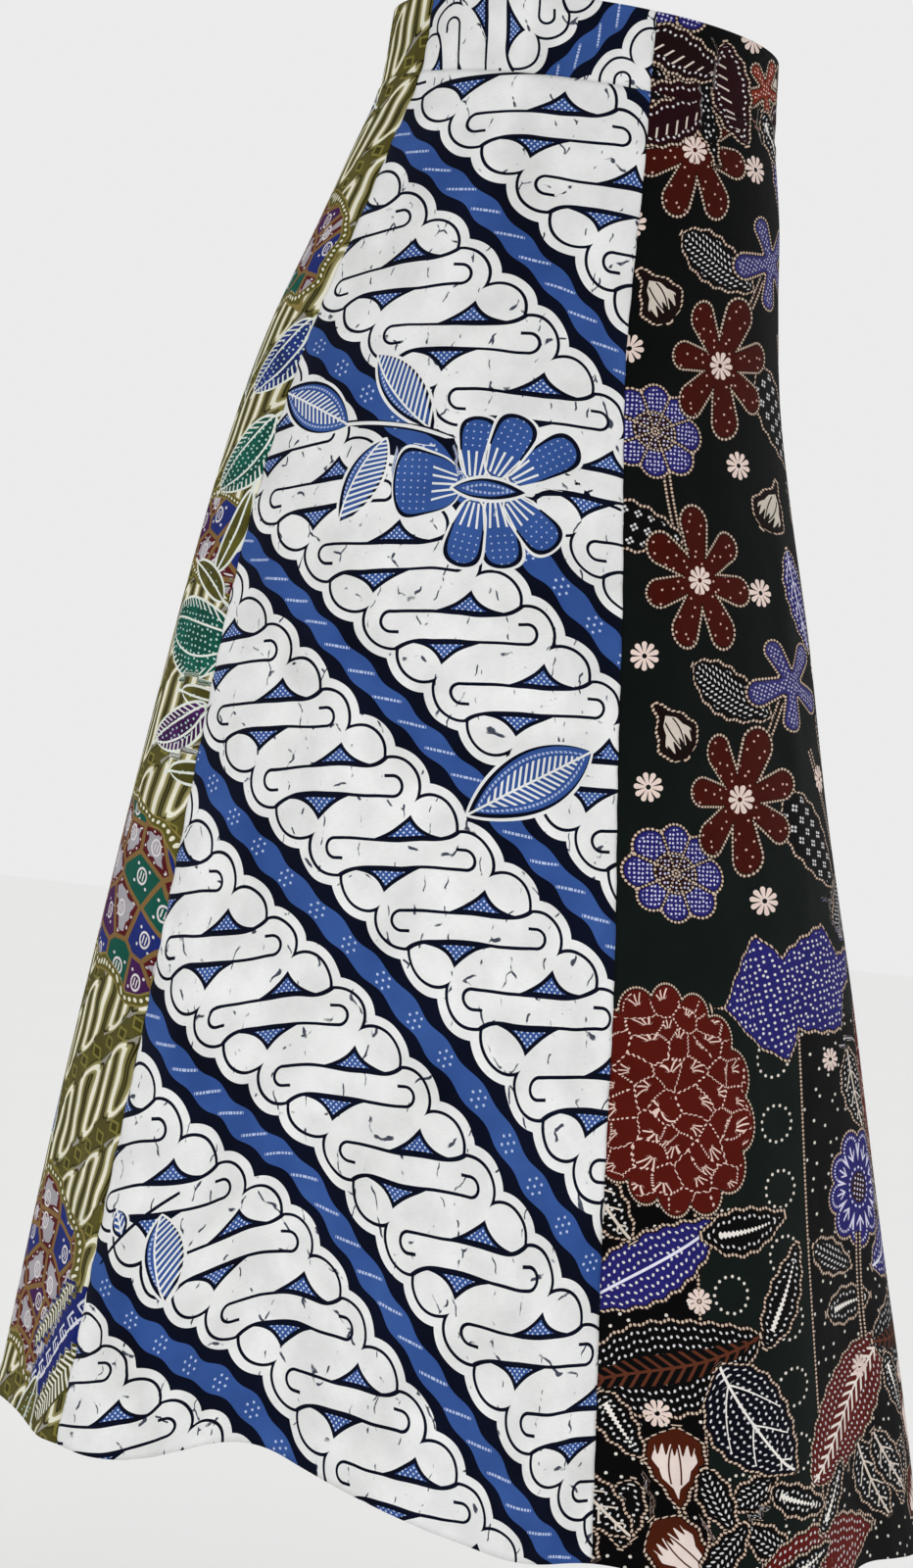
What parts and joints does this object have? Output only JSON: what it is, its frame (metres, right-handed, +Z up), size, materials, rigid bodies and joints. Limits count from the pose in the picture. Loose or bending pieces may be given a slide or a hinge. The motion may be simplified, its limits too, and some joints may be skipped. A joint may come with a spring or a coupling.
{
  "type": "batik gore skirt",
  "caption": "Worn A-line skirt of flared gores in patterned wax-resist cottons, open at waist and hem, with a pieced waistband and a zip.",
  "frame": {"origin": "centre of the waist at half the waistband's height, where the wearer holds the skirt up", "axes": "+Z up along the hanging skirt, -Y to the wearer's front, -X to the wearer's right"},
  "size_m": [0.5805, 0.5239, 0.8552],
  "materials": {
    "gore_front": "matt printed cotton",
    "gore_right": "matt printed cotton",
    "gore_back": "matt printed cotton",
    "gore_left": "matt printed cotton",
    "band_front": "matt printed cotton",
    "band_right": "matt printed cotton",
    "band_back": "matt printed cotton",
    "band_left": "matt printed cotton",
    "zip_tape_back": "woven tape",
    "zip_tape_left": "woven tape",
    "zip_slider": "enamelled",
    "zip_pull": "enamelled"
  },
  "bodies": {
    "skirt": {"gore_front": "gore_front", "gore_right": "gore_right", "gore_back": "gore_back", "gore_left": "gore_left", "band_front": "band_front", "band_right": "band_right", "band_back": "band_back", "band_left": "band_left", "zip_tape_back": "zip_tape_back", "zip_tape_left": "zip_tape_left", "zip_slider": "zip_slider"},
    "pull_tab": {"zip_pull": "zip_pull"}
  },
  "joints": [
    {"name": "pull_tab_swing", "type": "hinge", "parent": "skirt", "child": "pull_tab", "pos_m": [0.10199, 0.06785, 0.01732], "axis": [0.6086, -0.7935, 0], "range_deg": [0, 150]}
  ]
}
